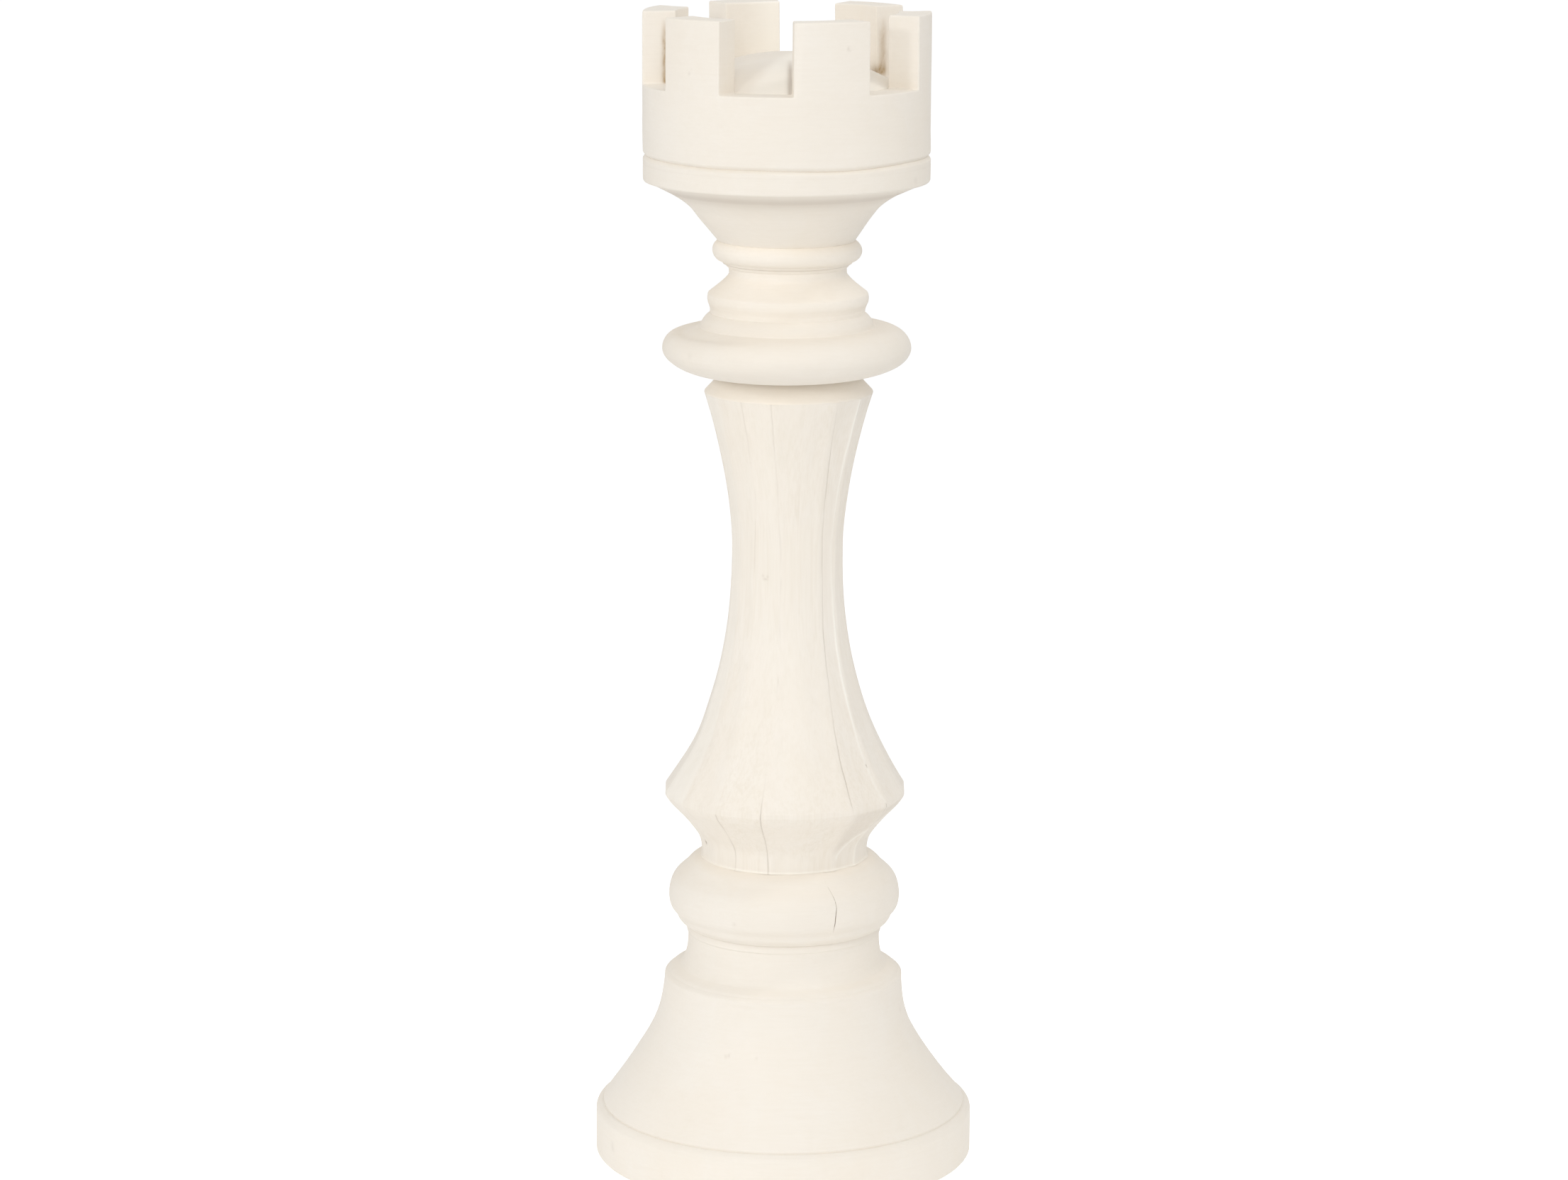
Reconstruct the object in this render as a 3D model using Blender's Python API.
"""Giant rook: a floor-standing chess piece in painted wood, 1.2 m tall.

The piece stands on Z = 0 with its axis on the Z axis; the front faces -Y.
It is built in three sections that stand on one another on loose round
dowels: the base, the sixteen-stave stem with its lower torus, and the head
with the battlements.  All lengths are in metres.

Names in _R are radii from the axis, names in _Z are heights above the floor.
"""
import bpy
import bmesh
from math import sin, cos, tan, pi, radians, sqrt

for old in list(bpy.data.objects):
    bpy.data.objects.remove(old, do_unlink=True)

# ---------------------------------------------------------------- dimensions
GAP = 0.0003                 # glue or running gap between touching pieces
SEG = 40                     # facets round a large turned piece
SEG_PIN = 16                 # facets round a central dowel, core or plug
SEG_SMALL = 8                # facets round a small dowel, a screw and their holes
SMOOTH_TURNED = 40.0         # edges sharper than this many degrees stay crisp
SMOOTH_SMALL = 30.0          # the same for staves, pins, screws and round bores

HEIGHT = 1.200               # floor to the top of the merlons

# central dowels, and the core that runs up through the head
SOCKET_CLEARANCE = 0.0008    # round a loose dowel
SOCKET_END = 0.0010          # past the end of a dowel
DOWEL_EASE_R, DOWEL_EASE_H = 0.002, 0.003
FOOT_DOWEL_R, FOOT_DOWEL_LOW_Z, FOOT_DOWEL_TOP_Z = 0.0245, 0.1720, 0.3290
FOOT_BORE_R = FOOT_DOWEL_R + SOCKET_CLEARANCE
NECK_DOWEL_R, NECK_DOWEL_LOW_Z, NECK_DOWEL_TOP_Z = 0.0195, 0.7560, 0.8990
NECK_BORE_R = NECK_DOWEL_R + SOCKET_CLEARANCE
CORE_R, CORE_LOW_Z, CORE_TOP_Z = 0.0195, 0.9060, 1.1000
CORE_BORE_R = CORE_R + GAP
CORE_BORE_LOW_Z = CORE_LOW_Z - 0.003

# small dowels, set in rings across the joints
SMALL_DOWEL_R, SMALL_DOWEL_HALF, SMALL_DOWEL_EASE = 0.0060, 0.0220, 0.0012
SMALL_BORE_R = SMALL_DOWEL_R + GAP
BORE_OVERRUN = 0.010         # cutter past the open end of a hole
PLINTH_DOWEL_RING_R, PLINTH_DOWEL_COUNT = 0.1530, 4
PLINTH_DOWEL_HALF = SMALL_DOWEL_HALF * 0.68
CROWN_DOWEL_RING_R, CROWN_DOWEL_COUNT = 0.1285, 4
CROWN_DOWEL_HALF = SMALL_DOWEL_HALF * 0.82
COLLAR_DOWEL_RING_R, COLLAR_DOWEL_COUNT = 0.0500, 2

# pad and plinth
PAD_R, PAD_T = 0.1860, 0.0030
PAD_EASE_R, PAD_EASE_H = 0.0005, 0.0006
PLINTH_R, PLINTH_BORE_R = 0.1976, 0.1380
PLINTH_TOP_Z = 0.0564        # scribed joint line round the plinth
PLINTH_SHOULDER_R = 0.1928
PLINTH_NOSE_PULL = (PLINTH_R - 0.0008, 0.0533)
PLINTH_NOSE_LOW_Z = 0.0485
PLINTH_EASE_R, PLINTH_EASE_H = 0.0018, 0.0025
SCRIBE_W, SCRIBE_D = 0.0014, 0.0014
REBATE_R, REBATE_TOP_Z = 0.1683, 0.0230

# closing board and screws
BOARD_R = REBATE_R - GAP
SCREW_RING_R, SCREW_COUNT = PLINTH_DOWEL_RING_R, 6
SCREW_PHASE = pi / PLINTH_DOWEL_COUNT    # first screw midway between two dowels
SCREW_SHANK_R, SCREW_HEAD_R, SCREW_LEN = 0.0022, 0.0045, 0.040
SCREW_LOW_Z = PAD_T + 0.0012
SCREW_RIM_H, SCREW_HEAD_H, SCREW_TIP_H = 0.0008, 0.0031, 0.005
SCREW_HOLE_OVERRUN = 0.002

# base bell and the collar on it
FLARE_R, FLARE_FOOT_R, FLARE_POWER = 0.1244, 0.1914, 1.78   # neck, foot and sweep
FLARE_TOP_Z, FLARE_FOOT_Z = 0.1990, 0.0588
FLARE_STEPS = 7
FLARE_FOOT_INSET = 0.0002
BELL_HOLLOW_R, BELL_HOLLOW_TOP_R, BELL_HOLLOW_TOP_Z = PLINTH_BORE_R, 0.0600, 0.1400
BELL_HOLLOW_SIDE = (BELL_HOLLOW_R - 0.0040, 0.0800)
BELL_HOLLOW_SPRING = (BELL_HOLLOW_R - 0.0200, 0.1080)
BELL_HOLLOW_PULL = (0.1000, BELL_HOLLOW_TOP_Z - 0.004)
SHOULDER_R, SHOULDER_EASE = FLARE_R, 0.0030
COVE_R, COVE_TOP_Z = 0.1000, 0.2350
COVE_PULL = (COVE_R + 0.0008, 0.2160)
COVE_FOOT = (0.1090, 0.2094)
FILLET_R, FILLET_Z, FILLET_STEP = 0.1015, 0.2422, 0.0006
FILLET_EASE_R, FILLET_EASE_H = 0.0005, 0.0012
BASE_TOP_Z = 0.2504

# lower torus
TORUS_CORE_R, TORUS_R, TORUS_Z = 0.0760, 0.1205, 0.2810
TORUS_UP_H, TORUS_DOWN_H = 0.0437, 0.0385
TORUS_TOP_Z = 0.3243

# staved stem: radii run from the axis to the middle of each flat
STAVES = 16
WAIST_R, WAIST_Z = 0.0574, 0.6550
STEM_TOP_R, STEM_TOP_Z, STEM_TOP_POWER = 0.0858, 0.8110, 1.70
LAND_R, LAND_TOP_Z, LAND_BOTTOM_Z, STEM_SKIRT_POWER = 0.1240, 0.3955, 0.3905, 2.48
STAVE_STATIONS_Z = (         # heights of the flat's stations, top to land
    STEM_TOP_Z, 0.785, 0.760, 0.735, 0.705, 0.675, 0.640, 0.600,
    0.565, 0.535, 0.505, 0.475, 0.450, 0.425, 0.410, LAND_TOP_Z)
UNDERCUT = (                 # (radius, height) of the hollow below the land
    (0.1213, 0.3862), (0.1170, 0.3806), (0.1046, 0.3675),
    (0.0957, 0.3566), (0.0890, 0.3468), (0.0863, 0.3376))
UNDERCUT_R = 0.0856
STAVE_INNER_R = 0.0380
PLUG_R = STAVE_INNER_R - GAP
BOTTOM_PLUG_LOW_Z, BOTTOM_PLUG_TOP_Z = 0.2900, 0.3900
TOP_PLUG_LOW_Z = 0.7350

# stem cap
CAP_R, CAP_TOP_R, CAP_TOP_Z = 0.0864, 0.0705, 0.8290
CAP_EASE_R, CAP_EASE_TOP_Z, CAP_EASE_LOW_Z = 0.0004, STEM_TOP_Z + 0.0022, STEM_TOP_Z + 0.0012

# knob and neck
KNOB_FOOT_R, KNOB_FOOT_Z = 0.0798, 0.8934
KNOB_R, KNOB_Z, KNOB_NOSE_H = 0.0836, 0.9080, 0.0070
KNOB_CORE_R = KNOB_R - 0.0042
KNOB_NOSE_TOP_Z, KNOB_NOSE_LOW_Z = KNOB_Z + 0.0055, KNOB_Z - 0.0062
NECK_R, NECK_LOW_Z, NECK_TOP_Z = 0.0603, 0.9335, 0.9428
NECK_SWEEP_PULL = (NECK_R + 0.0012, NECK_LOW_Z - 0.0040)
NECK_SWEEP_FOOT = (KNOB_R - 0.0100, KNOB_Z + 0.0118)
NECK_FILLET_R, NECK_FILLET_TOP_Z, NECK_FILLET_STEP = 0.0640, 0.9489, 0.0006
NECK_FILLET_EASE_R, NECK_FILLET_EASE_H = 0.0004, 0.0010

# head collar and the ovolo above it
HEAD_FOOT_Z = CAP_TOP_Z + GAP
COLLAR_R, COLLAR_Z = 0.1273, 0.8572
COLLAR_UP_CORE_R, COLLAR_UP_H = 0.1010, 0.0216
COLLAR_DOWN_CORE_R, COLLAR_DOWN_H = 0.0680, 0.0273
COLLAR_UP_Z, COLLAR_DOWN_Z = COLLAR_Z + COLLAR_UP_H, COLLAR_Z - COLLAR_DOWN_H
COLLAR_FOOT_R, COLLAR_FOOT_STEP = 0.0640, 0.0003
COLLAR_TOP_R = KNOB_FOOT_R + 0.0006
OVOLO_R, OVOLO_Z = 0.0888, 0.8800
OVOLO_TOP = (KNOB_FOOT_R + 0.0022, KNOB_FOOT_Z - 0.0006)
OVOLO_PULL = (OVOLO_R - 0.0010, KNOB_FOOT_Z - 0.0050)
OVOLO_FOOT = (OVOLO_R + 0.0004, COLLAR_UP_Z + 0.0004)

# bead
BEAD_CORE_R, BEAD_R, BEAD_Z = 0.0625, 0.0766, 0.9570
BEAD_HALF_H, BEAD_TOP_Z = 0.0120, 0.9687

# crown, and the dome inside it
CROWN_R, CROWN_WALL = 0.1458, 0.0338
CROWN_INNER_R = CROWN_R - CROWN_WALL
CROWN_TOP_INSET, CROWN_EDGE_INSET = 0.0014, 0.0002
MERLON_EDGE, MERLON_INNER_EDGE = 0.0025, 0.0010
GROOVE_Z, GROOVE_H, GROOVE_D = 1.0550, 0.0043, 0.0030
GAP_FLOOR_Z = 1.1260
GAP_WIDTH = radians(30.0)
# gaps between the merlons: anticlockwise from the front, seen from above
GAP_CENTRES = [radians(a) for a in (-12.3, 49.6, 109.0, 168.5, 228.5, 288.8)]
GAP_CUT_INNER_R, GAP_CUT_OUTER_R = CROWN_INNER_R - 0.020, CROWN_R + 0.030
GAP_CUT_TOP_Z = HEIGHT + 0.020
DOME_R, DOME_RISE, DOME_STEPS = CROWN_INNER_R - GAP, 0.0320, 7

# capital bell and flange
BELL_FOOT_R, BELL_CONE_R, BELL_CONE_Z = 0.0714, 0.0950, 1.0000
BELL_COVE_R, BELL_COVE_Z = 0.1025, 1.0084
BELL_TOP_R, BELL_TOP_Z = 0.1175, 1.0167
FLANGE_R, FLANGE_LOW_Z = CROWN_R, 1.0300
FLANGE_EASE_R, FLANGE_EASE_H = 0.0009, 0.0016
FLANGE_LIP_R, FLANGE_LIP_Z = 0.1412, 1.0280


# ------------------------------------------------------------------- finishes
def finish(name, colour, roughness, metallic=0.0):
    mat = bpy.data.materials.new(name)
    mat.use_nodes = True
    bsdf = mat.node_tree.nodes["Principled BSDF"]
    bsdf.inputs["Base Color"].default_value = (*colour, 1.0)
    bsdf.inputs["Roughness"].default_value = roughness
    bsdf.inputs["Metallic"].default_value = metallic
    return mat


PAINT = finish("cream_paint", colour=(0.84, 0.79, 0.70), roughness=0.62)
PINE = finish("raw_pine", colour=(0.62, 0.44, 0.26), roughness=0.70)
BEECH = finish("beech_dowel", colour=(0.66, 0.47, 0.30), roughness=0.60)
PLYWOOD = finish("plywood_board", colour=(0.55, 0.40, 0.24), roughness=0.75)
ZINC = finish("zinc_screw", colour=(0.55, 0.55, 0.56), roughness=0.35, metallic=1.0)
RUBBER = finish("black_rubber", colour=(0.03, 0.03, 0.03), roughness=0.85)


def own_finish(mat, name):
    """Each piece keeps its own copy of its finish."""
    copy = mat.copy()
    copy.name = name + "_finish"
    return copy


# --------------------------------------------------------------------- curves
def bulge(core, peak, centre_z, half_h, z_from, z_to, steps):
    """Elliptic moulding: radius core + (peak - core) * ellipse, between two heights."""
    start = (z_from - centre_z) / half_h
    end = (z_to - centre_z) / half_h
    points = []
    for i in range(steps + 1):
        t = start + (end - start) * (0.5 - 0.5 * cos(pi * i / steps))
        points.append((core + (peak - core) * sqrt(max(0.0, 1.0 - t * t)),
                       centre_z + t * half_h))
    return points


def bend(start, pull, end, steps):
    """Quadratic curve from start to end, pulled towards pull."""
    points = []
    for i in range(steps + 1):
        t = i / steps
        points.append(tuple((1 - t) ** 2 * a + 2 * t * (1 - t) * b + t * t * c
                            for a, b, c in zip(start, pull, end)))
    return points


# ------------------------------------------------------------ meshes, objects
def finish_mesh(name, bm, smooth):
    """Clean the bmesh and turn it into a mesh, smooth below the given angle."""
    bmesh.ops.remove_doubles(bm, verts=bm.verts, dist=1e-7)
    bmesh.ops.recalc_face_normals(bm, faces=bm.faces)
    mesh = bpy.data.meshes.new(name)
    bm.to_mesh(mesh)
    bm.free()
    mesh.shade_smooth()
    mesh.set_sharp_from_angle(angle=radians(smooth))
    return mesh


def spin_mesh(name, outline, steps, smooth):
    """Turn an (r, z) outline about Z; one that starts on the axis also ends there."""
    bm = bmesh.new()
    verts = [bm.verts.new((r, 0.0, z)) for r, z in outline]
    edges = [bm.edges.new(pair) for pair in zip(verts, verts[1:])]
    if outline[0][0] > 0.0:
        edges.append(bm.edges.new((verts[-1], verts[0])))
    bmesh.ops.spin(bm, geom=verts + edges, cent=(0, 0, 0), axis=(0, 0, 1), dvec=(0, 0, 0),
                   angle=2 * pi, steps=steps, use_merge=True, use_duplicate=False)
    return finish_mesh(name, bm, smooth)


def add_object(name, mesh, mat, parent=None):
    mesh.materials.append(mat)
    obj = bpy.data.objects.new(name, mesh)
    bpy.context.scene.collection.objects.link(obj)
    obj.parent = parent
    return obj


frame_z = {}                 # height of each frame above the floor


def frame(name, z, parent=None):
    """Empty on the axis, at a height above the floor."""
    empty = bpy.data.objects.new(name, None)
    empty.empty_display_size = 0.05
    empty.location = (0, 0, z - frame_z[parent.name] if parent else z)
    bpy.context.scene.collection.objects.link(empty)
    empty.parent = parent
    frame_z[name] = z
    return empty


def turned(name, outline, mat, parent, steps=SEG):
    """Turned piece; its outline is given in heights above the floor."""
    local = [(r, z - frame_z[parent.name]) for r, z in outline]
    mesh = spin_mesh(name, local, steps, SMOOTH_TURNED)
    return add_object(name, mesh, own_finish(mat, name), parent)


def large_dowel(name, r, low_z, top_z, parent):
    """Central dowel with eased ends."""
    turned(name, [(0.0, low_z), (r - DOWEL_EASE_R, low_z), (r, low_z + DOWEL_EASE_H),
                  (r, top_z - DOWEL_EASE_H), (r - DOWEL_EASE_R, top_z), (0.0, top_z)],
           BEECH, parent, SEG_PIN)


def prism(bm, corners, low_z, top_z):
    """Add an upright prism on the given (x, y) corners."""
    face = bm.faces.new([bm.verts.new((x, y, low_z)) for x, y in corners])
    extruded = bmesh.ops.extrude_face_region(bm, geom=[face])["geom"]
    top = [v for v in extruded if isinstance(v, bmesh.types.BMVert)]
    bmesh.ops.translate(bm, verts=top, vec=(0, 0, top_z - low_z))


def cutter(name, bm, smooth):
    """Hidden cutting tool, placed straight in world space."""
    tool = add_object(name, finish_mesh(name, bm, smooth), PINE)
    tool.hide_render = True
    tool.display_type = 'WIRE'
    return tool


def cut(obj, tool):
    mod = obj.modifiers.new("cut_" + tool.name, 'BOOLEAN')
    mod.operation = 'DIFFERENCE'
    mod.solver = 'EXACT'
    mod.object = tool


def ring_points(r, count, phase=0.0):
    angles = [phase + 2 * pi * k / count for k in range(count)]
    return [(r * cos(a), r * sin(a)) for a in angles]


def bore_ring(obj, ring_r, count, low_z, top_z):
    """Bore a ring of small dowel holes; the tool takes the last word of the piece's name."""
    bm = bmesh.new()
    for x, y in ring_points(ring_r, count):
        circle = [(x + dx, y + dy) for dx, dy in ring_points(SMALL_BORE_R, SEG_SMALL)]
        prism(bm, circle, low_z, top_z)
    word = obj.name.split("_")[-1]
    cut(obj, cutter("bore_%s_dowels" % word, bm, SMOOTH_SMALL))


def pin_ring(pin_name, ring_r, count, low_z, top_z, parent):
    """Ring of small dowels, each its own piece with its origin at its foot."""
    r, ease, length = SMALL_DOWEL_R, SMALL_DOWEL_EASE, top_z - low_z
    outline = [(0.0, 0.0), (r - ease, 0.0), (r, ease),
               (r, length - ease), (r - ease, length), (0.0, length)]
    for k, (x, y) in enumerate(ring_points(ring_r, count)):
        name = "%s_%d" % (pin_name, k + 1)
        mesh = spin_mesh(name, outline, SEG_SMALL, SMOOTH_SMALL)
        pin = add_object(name, mesh, own_finish(BEECH, name), parent)
        pin.location = (x, y, low_z - frame_z[parent.name])


def dowel_joint(pin_name, upper, lower, joint_z, half, ring_r, count, parent):
    """Bore both pieces of a joint and set a ring of small dowels across it."""
    reach = half + SOCKET_END
    bore_ring(upper, ring_r, count, joint_z - BORE_OVERRUN, joint_z + reach)
    bore_ring(lower, ring_r, count, joint_z - reach, joint_z + BORE_OVERRUN)
    pin_ring(pin_name, ring_r, count, joint_z - half, joint_z + half, parent)


# ------------------------------------------------------------------------ base
# outer outlines run from the top of each piece to its foot
def base_collar(parent):
    """Collar bored through for the foot dowel."""
    turned("base_collar",
           [(FILLET_R - FILLET_EASE_R, BASE_TOP_Z), (FILLET_R, BASE_TOP_Z - FILLET_EASE_H),
            (FILLET_R, FILLET_Z + FILLET_STEP), (COVE_R, FILLET_Z - FILLET_STEP)]
           + bend((COVE_R, COVE_TOP_Z), COVE_PULL, COVE_FOOT, steps=3)
           + [(SHOULDER_R - SHOULDER_EASE, FLARE_TOP_Z + SHOULDER_EASE),
              (SHOULDER_R, FLARE_TOP_Z + GAP),
              (FOOT_BORE_R, FLARE_TOP_Z + GAP), (FOOT_BORE_R, BASE_TOP_Z)],
           PAINT, parent)


def flare_r(z):
    u = (FLARE_TOP_Z - z) / (FLARE_TOP_Z - PLINTH_TOP_Z)
    return FLARE_R + (FLARE_FOOT_R - FLARE_R) * u ** FLARE_POWER


def base_bell(parent):
    """Flared bell: dowel socket from above, hollow from below."""
    heights = [FLARE_TOP_Z + (FLARE_FOOT_Z - FLARE_TOP_Z) * i / FLARE_STEPS
               for i in range(FLARE_STEPS + 1)]
    flare = [(flare_r(z), z) for z in heights]
    socket_z = FOOT_DOWEL_LOW_Z - SOCKET_END
    joint_z = PLINTH_TOP_Z + GAP / 2
    return turned("base_bell",
                  [(0.0, socket_z), (FOOT_BORE_R, socket_z), (FOOT_BORE_R, FLARE_TOP_Z)]
                  + flare
                  + [(flare[-1][0] - FLARE_FOOT_INSET, joint_z),
                     (BELL_HOLLOW_R, joint_z), BELL_HOLLOW_SIDE]
                  + bend(BELL_HOLLOW_SPRING, BELL_HOLLOW_PULL,
                         (BELL_HOLLOW_TOP_R, BELL_HOLLOW_TOP_Z), steps=3)
                  + [(0.0, BELL_HOLLOW_TOP_Z)],
                  PAINT, parent)


def base_plinth(parent):
    """Plinth ring, rebated from below for the closing board."""
    joint_z = PLINTH_TOP_Z - GAP / 2
    return turned("base_plinth",
                  [(PLINTH_SHOULDER_R - SCRIBE_D, joint_z)]
                  + bend((PLINTH_SHOULDER_R, PLINTH_TOP_Z - SCRIBE_W), PLINTH_NOSE_PULL,
                         (PLINTH_R, PLINTH_NOSE_LOW_Z), steps=2)
                  + [(PLINTH_R, PAD_T + PLINTH_EASE_H), (PLINTH_R - PLINTH_EASE_R, PAD_T + GAP),
                     (REBATE_R, PAD_T + GAP), (REBATE_R, REBATE_TOP_Z),
                     (PLINTH_BORE_R, REBATE_TOP_Z), (PLINTH_BORE_R, joint_z)],
                  PAINT, parent)


def base_board(parent):
    low_z, top_z = PAD_T + 2 * GAP, REBATE_TOP_Z - GAP
    return turned("base_board",
                  [(0.0, low_z), (BOARD_R, low_z), (BOARD_R, top_z), (0.0, top_z)],
                  PLYWOOD, parent)


def screw_mesh(name, grow=0.0, overrun=0.0):
    """Countersunk screw, head down; grown and run out below, it shapes its hole."""
    shank, head_r = SCREW_SHANK_R + grow, SCREW_HEAD_R + grow
    foot_z, tip_z = SCREW_LOW_Z - overrun, SCREW_LOW_Z + SCREW_LEN
    outline = [(0.0, foot_z), (head_r, foot_z), (head_r, SCREW_LOW_Z + SCREW_RIM_H),
               (shank, SCREW_LOW_Z + SCREW_HEAD_H), (shank, tip_z - SCREW_TIP_H + grow),
               (0.0, tip_z + 2 * grow)]
    return spin_mesh(name, outline, SEG_SMALL, SMOOTH_SMALL)


def base_screws(pieces, parent):
    """Bore the given pieces for the ring of screws and drive the screws."""
    places = ring_points(SCREW_RING_R, SCREW_COUNT, SCREW_PHASE)
    hole = screw_mesh("screw_hole", GAP, SCREW_HOLE_OVERRUN)
    bm = bmesh.new()
    for x, y in places:
        first = len(bm.verts)
        bm.from_mesh(hole)
        bm.verts.ensure_lookup_table()
        bmesh.ops.translate(bm, verts=bm.verts[first:], vec=(x, y, 0.0))
    bpy.data.meshes.remove(hole)
    tool = cutter("bore_screws", bm, SMOOTH_SMALL)
    for piece in pieces:
        cut(piece, tool)
    for k, (x, y) in enumerate(places):
        name = "base_screw_%d" % (k + 1)
        screw = add_object(name, screw_mesh(name), own_finish(ZINC, name), parent)
        screw.location = (x, y, 0.0)


def base_pad(parent):
    turned("base_pad", [(0.0, 0.0), (PAD_R - PAD_EASE_R, 0.0), (PAD_R, PAD_EASE_H),
                        (PAD_R, PAD_T), (0.0, PAD_T)],
           RUBBER, parent)


def build_base(parent):
    base_collar(parent)
    bell = base_bell(parent)
    plinth = base_plinth(parent)
    dowel_joint("plinth_dowel", bell, plinth, PLINTH_TOP_Z, PLINTH_DOWEL_HALF,
                PLINTH_DOWEL_RING_R, PLINTH_DOWEL_COUNT, parent)
    board = base_board(parent)
    base_screws((board, plinth), parent)
    base_pad(parent)


# ------------------------------------------------------------------------ stem
def lower_torus(parent):
    """Torus bored for the foot dowel, widened above for the bottom plug."""
    up = bulge(TORUS_CORE_R, TORUS_R, TORUS_Z, TORUS_UP_H, TORUS_TOP_Z, TORUS_Z, steps=5)
    down = bulge(TORUS_CORE_R, TORUS_R, TORUS_Z, TORUS_DOWN_H,
                 TORUS_Z, BASE_TOP_Z + GAP, steps=5)
    ledge_z = BOTTOM_PLUG_LOW_Z - GAP
    turned("lower_torus",
           up + down[1:]
           + [(FOOT_BORE_R, BASE_TOP_Z + GAP), (FOOT_BORE_R, ledge_z),
              (STAVE_INNER_R, ledge_z), (STAVE_INNER_R, TORUS_TOP_Z)],
           PAINT, parent)


def stem_bottom_plug(parent):
    """Plug with the foot dowel's socket in its underside."""
    socket_z = FOOT_DOWEL_TOP_Z + SOCKET_END
    turned("stem_bottom_plug",
           [(0.0, socket_z), (FOOT_BORE_R, socket_z), (FOOT_BORE_R, BOTTOM_PLUG_LOW_Z),
            (PLUG_R, BOTTOM_PLUG_LOW_Z), (PLUG_R, BOTTOM_PLUG_TOP_Z), (0.0, BOTTOM_PLUG_TOP_Z)],
           PINE, parent, SEG_PIN)


def stem_top_plug(parent):
    """Plug with the neck dowel's socket in its top."""
    socket_z = NECK_DOWEL_LOW_Z - SOCKET_END
    turned("stem_top_plug",
           [(0.0, TOP_PLUG_LOW_Z), (PLUG_R, TOP_PLUG_LOW_Z), (PLUG_R, STEM_TOP_Z),
            (NECK_BORE_R, STEM_TOP_Z), (NECK_BORE_R, socket_z), (0.0, socket_z)],
           PINE, parent, SEG_PIN)


def stem_cap(parent):
    turned("stem_cap",
           [(CAP_TOP_R, CAP_TOP_Z), (CAP_R - CAP_EASE_R, CAP_EASE_TOP_Z),
            (CAP_R, CAP_EASE_LOW_Z), (CAP_R, STEM_TOP_Z + GAP),
            (NECK_BORE_R, STEM_TOP_Z + GAP), (NECK_BORE_R, CAP_TOP_Z)],
           PAINT, parent)


def stem_r(z):
    """Distance from the axis to a flat of the stem, from the land to the top."""
    if z >= WAIST_Z:
        u = (z - WAIST_Z) / (STEM_TOP_Z - WAIST_Z)
        return WAIST_R + (STEM_TOP_R - WAIST_R) * u ** STEM_TOP_POWER
    u = (WAIST_Z - z) / (WAIST_Z - LAND_TOP_Z)
    return WAIST_R + (LAND_R - WAIST_R) * u ** STEM_SKIRT_POWER


def stave_mesh(name, low_z):
    """One stave, its flat facing +X: outer flat, two glue faces, straight back."""
    half_angle = pi / STAVES
    side_gap = (GAP / 2) / cos(half_angle)
    outline = ([(stem_r(z), z) for z in STAVE_STATIONS_Z] + [(LAND_R, LAND_BOTTOM_Z)]
               + list(UNDERCUT) + [(UNDERCUT_R, TORUS_TOP_Z + GAP)])
    y_in = STAVE_INNER_R * tan(half_angle) - side_gap
    bm = bmesh.new()
    rings = []
    for r, z in outline:
        y_out = r * tan(half_angle) - side_gap
        corners = ((r, -y_out), (r, y_out), (STAVE_INNER_R, y_in), (STAVE_INNER_R, -y_in))
        rings.append([bm.verts.new((x, y, z - low_z)) for x, y in corners])
    for a, b in zip(rings, rings[1:]):
        for j in range(4):
            bm.faces.new((a[j], a[(j + 1) % 4], b[(j + 1) % 4], b[j]))
    bm.faces.new(rings[0])
    bm.faces.new(rings[-1])
    return finish_mesh(name, bm, SMOOTH_SMALL)


def stem_staves(parent):
    """Ring of staves, the first with its flat to the front."""
    for k in range(STAVES):
        name = "stem_stave_%02d" % (k + 1)
        mesh = stave_mesh(name, frame_z[parent.name])
        stave = add_object(name, mesh, own_finish(PAINT, name), parent)
        stave.rotation_euler = (0.0, 0.0, -pi / 2 + 2 * pi * k / STAVES)


def build_stem(parent):
    lower_torus(parent)
    stem_bottom_plug(parent)
    stem_top_plug(parent)
    stem_cap(parent)
    stem_staves(parent)


# ------------------------------------------------------------------------ head
def head_collar(parent):
    """Collar with the ovolo above it, bored for the neck dowel."""
    up = bulge(COLLAR_UP_CORE_R, COLLAR_R, COLLAR_Z, COLLAR_UP_H,
               COLLAR_UP_Z, COLLAR_Z, steps=4)
    down = bulge(COLLAR_DOWN_CORE_R, COLLAR_R, COLLAR_Z, COLLAR_DOWN_H,
                 COLLAR_Z, COLLAR_DOWN_Z, steps=5)
    return turned("head_collar",
                  [(COLLAR_TOP_R, KNOB_FOOT_Z)]
                  + bend(OVOLO_TOP, OVOLO_PULL, (OVOLO_R, OVOLO_Z), steps=2)
                  + [OVOLO_FOOT] + up + down[1:]
                  + [(COLLAR_FOOT_R, COLLAR_DOWN_Z - COLLAR_FOOT_STEP),
                     (NECK_BORE_R, HEAD_FOOT_Z), (NECK_BORE_R, KNOB_FOOT_Z)],
                  PAINT, parent)


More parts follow.
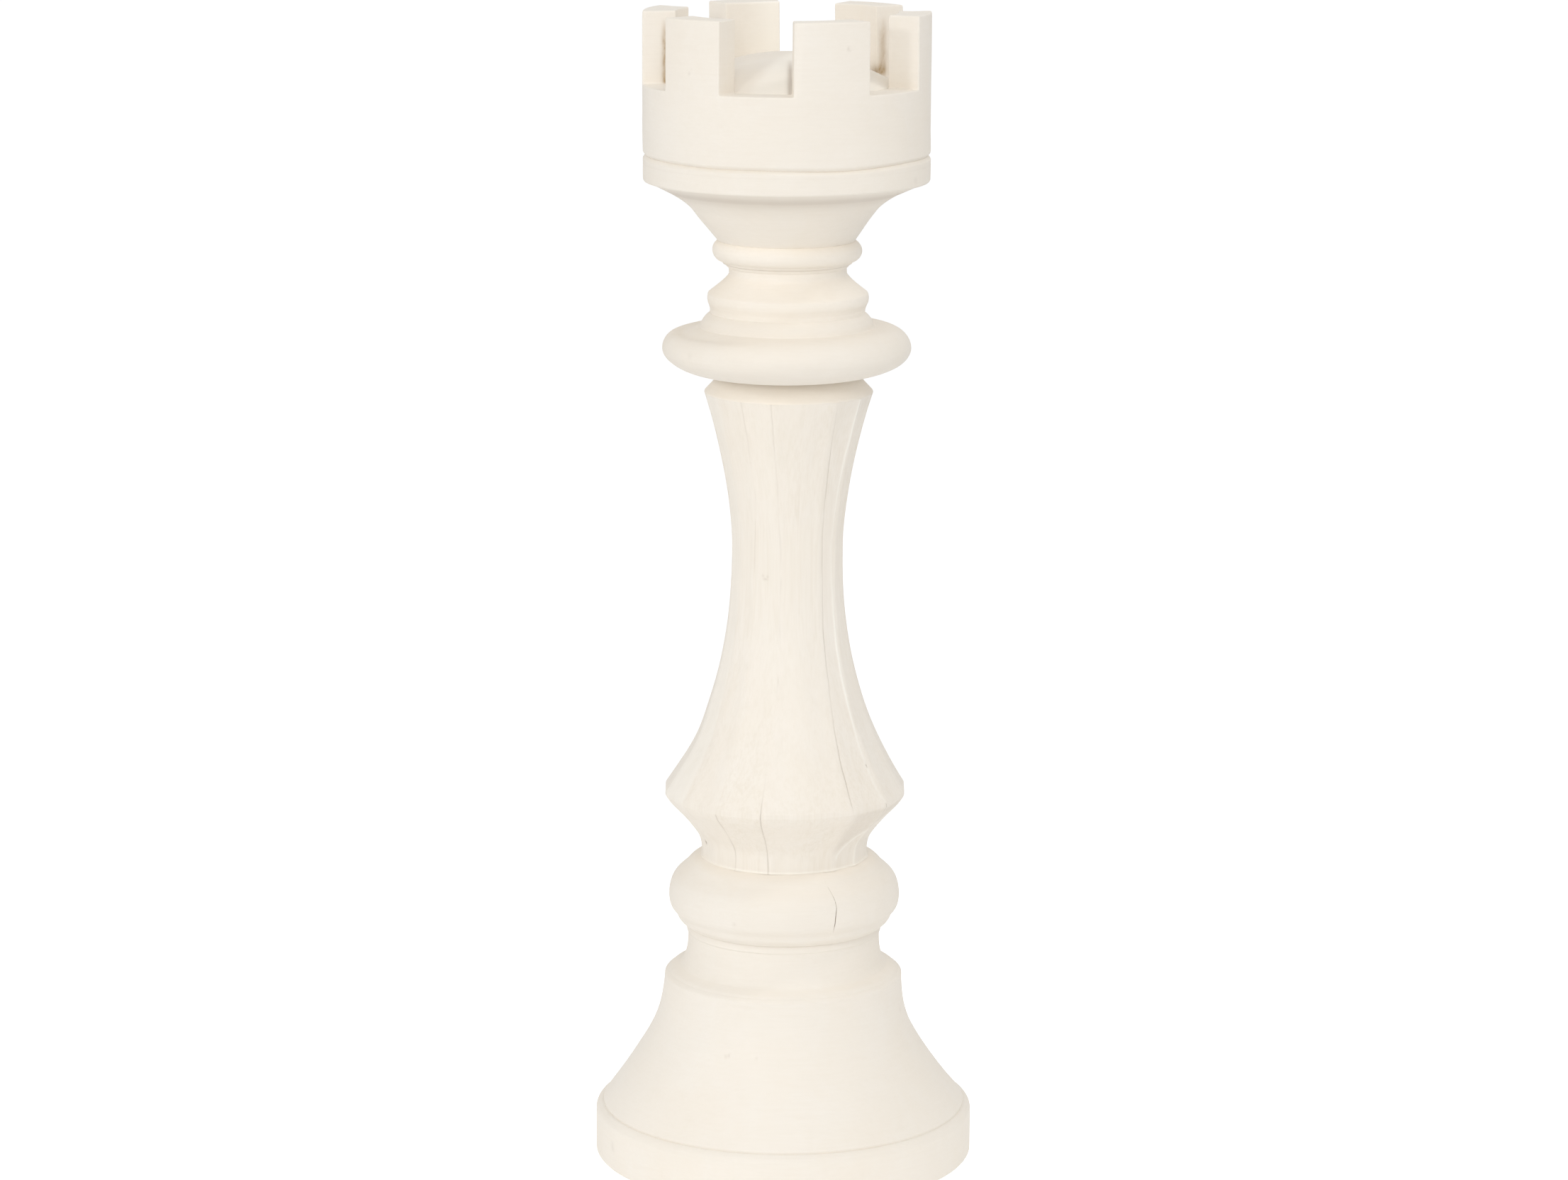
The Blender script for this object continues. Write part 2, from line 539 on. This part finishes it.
def neck_knob(parent):
    """Knob and neck: bored for the neck dowel below and the core above."""
    return turned("neck_knob",
                  [(NECK_FILLET_R - NECK_FILLET_EASE_R, NECK_FILLET_TOP_Z),
                   (NECK_FILLET_R, NECK_FILLET_TOP_Z - NECK_FILLET_EASE_H),
                   (NECK_FILLET_R, NECK_TOP_Z + NECK_FILLET_STEP),
                   (NECK_R, NECK_TOP_Z - NECK_FILLET_STEP)]
                  + bend((NECK_R, NECK_LOW_Z), NECK_SWEEP_PULL, NECK_SWEEP_FOOT, steps=2)
                  + bulge(KNOB_CORE_R, KNOB_R, KNOB_Z, KNOB_NOSE_H,
                          KNOB_NOSE_TOP_Z, KNOB_NOSE_LOW_Z, steps=4)
                  + [(KNOB_FOOT_R, KNOB_FOOT_Z + GAP), (NECK_BORE_R, KNOB_FOOT_Z + GAP),
                     (NECK_BORE_R, CORE_BORE_LOW_Z), (CORE_BORE_R, CORE_BORE_LOW_Z),
                     (CORE_BORE_R, NECK_FILLET_TOP_Z)],
                  PAINT, parent)


def neck_bead(parent):
    foot_z = NECK_FILLET_TOP_Z + GAP
    up = bulge(BEAD_CORE_R, BEAD_R, BEAD_Z, BEAD_HALF_H, BEAD_TOP_Z, BEAD_Z, steps=4)
    down = bulge(BEAD_CORE_R, BEAD_R, BEAD_Z, BEAD_HALF_H, BEAD_Z, foot_z, steps=4)
    turned("neck_bead", up + down[1:] + [(CORE_BORE_R, foot_z), (CORE_BORE_R, BEAD_TOP_Z)],
           PAINT, parent)


def capital_bell(parent):
    """Cone with a cove at its top."""
    top_z, foot_z = BELL_TOP_Z - GAP / 2, BEAD_TOP_Z + GAP
    turned("capital_bell",
           bend((BELL_TOP_R, top_z), (BELL_COVE_R, BELL_COVE_Z),
                (BELL_CONE_R, BELL_CONE_Z), steps=3)
           + [(BELL_FOOT_R, foot_z), (CORE_BORE_R, foot_z), (CORE_BORE_R, top_z)],
           PAINT, parent)


def capital_flange(parent):
    """Flange under the crown, with the lower half of the groove."""
    top_z, foot_z = GROOVE_Z - GAP / 2, BELL_TOP_Z + GAP / 2
    return turned("capital_flange",
                  [(FLANGE_R - GROOVE_D, top_z), (FLANGE_R, GROOVE_Z - GROOVE_H),
                   (FLANGE_R, FLANGE_LOW_Z),
                   (FLANGE_R - FLANGE_EASE_R, FLANGE_LOW_Z - FLANGE_EASE_H),
                   (FLANGE_LIP_R, FLANGE_LIP_Z), (BELL_TOP_R, foot_z),
                   (CORE_BORE_R, foot_z), (CORE_BORE_R, top_z)],
                  PAINT, parent)


def crown_ring(parent):
    """Battlements: a ring with six gaps cut down to the gap floor."""
    foot_z = GROOVE_Z + GAP / 2
    crown = turned("crown",
                   [(CROWN_R - CROWN_TOP_INSET, HEIGHT),
                    (CROWN_R - CROWN_EDGE_INSET, HEIGHT - MERLON_EDGE),
                    (CROWN_R, GROOVE_Z + GROOVE_H), (CROWN_R - GROOVE_D, foot_z),
                    (CROWN_INNER_R, foot_z), (CROWN_INNER_R, HEIGHT - MERLON_INNER_EDGE),
                    (CROWN_INNER_R + MERLON_INNER_EDGE, HEIGHT)],
                   PAINT, parent)
    bm = bmesh.new()
    for centre in GAP_CENTRES:
        low = centre - pi / 2 - GAP_WIDTH / 2
        high = centre - pi / 2 + GAP_WIDTH / 2
        corners = [(r * cos(a), r * sin(a))
                   for r, a in ((GAP_CUT_INNER_R, low), (GAP_CUT_OUTER_R, low),
                                (GAP_CUT_OUTER_R, high), (GAP_CUT_INNER_R, high))]
        prism(bm, corners, GAP_FLOOR_Z, GAP_CUT_TOP_Z)
    cut(crown, cutter("cut_crown_gaps", bm, SMOOTH_TURNED))
    return crown


def crown_dome(parent):
    """Domed floor inside the battlements, seated on the core."""
    foot_z, socket_z = GROOVE_Z + GAP / 2, CORE_TOP_Z + SOCKET_END
    angles = [pi / 2 * i / DOME_STEPS for i in range(DOME_STEPS, -1, -1)]
    turned("crown_dome",
           [(0.0, socket_z), (CORE_BORE_R, socket_z), (CORE_BORE_R, foot_z), (DOME_R, foot_z)]
           + [(DOME_R * sin(a), GAP_FLOOR_Z + DOME_RISE * (1 - sin(a) ** 2)) for a in angles],
           PAINT, parent)


def head_core(parent):
    turned("head_core", [(0.0, CORE_LOW_Z), (CORE_R, CORE_LOW_Z),
                         (CORE_R, CORE_TOP_Z), (0.0, CORE_TOP_Z)],
           BEECH, parent, SEG_PIN)


def build_head(parent):
    collar = head_collar(parent)
    knob = neck_knob(parent)
    neck_bead(parent)
    capital_bell(parent)
    flange = capital_flange(parent)
    crown = crown_ring(parent)
    dowel_joint("crown_dowel", crown, flange, GROOVE_Z, CROWN_DOWEL_HALF,
                CROWN_DOWEL_RING_R, CROWN_DOWEL_COUNT, parent)
    dowel_joint("collar_dowel", knob, collar, KNOB_FOOT_Z, SMALL_DOWEL_HALF,
                COLLAR_DOWEL_RING_R, COLLAR_DOWEL_COUNT, parent)
    crown_dome(parent)
    head_core(parent)


# -------------------------------------------------------------------- assembly
base_frame = frame("base_frame", 0.0)
foot_joint = frame("foot_joint", BASE_TOP_Z, base_frame)
stem_frame = frame("stem_frame", BASE_TOP_Z, foot_joint)
neck_joint = frame("neck_joint", CAP_TOP_Z, stem_frame)
head_frame = frame("head_frame", CAP_TOP_Z, neck_joint)

build_base(base_frame)
large_dowel("foot_dowel", FOOT_DOWEL_R, FOOT_DOWEL_LOW_Z, FOOT_DOWEL_TOP_Z, foot_joint)
build_stem(stem_frame)
large_dowel("neck_dowel", NECK_DOWEL_R, NECK_DOWEL_LOW_Z, NECK_DOWEL_TOP_Z, neck_joint)
build_head(head_frame)
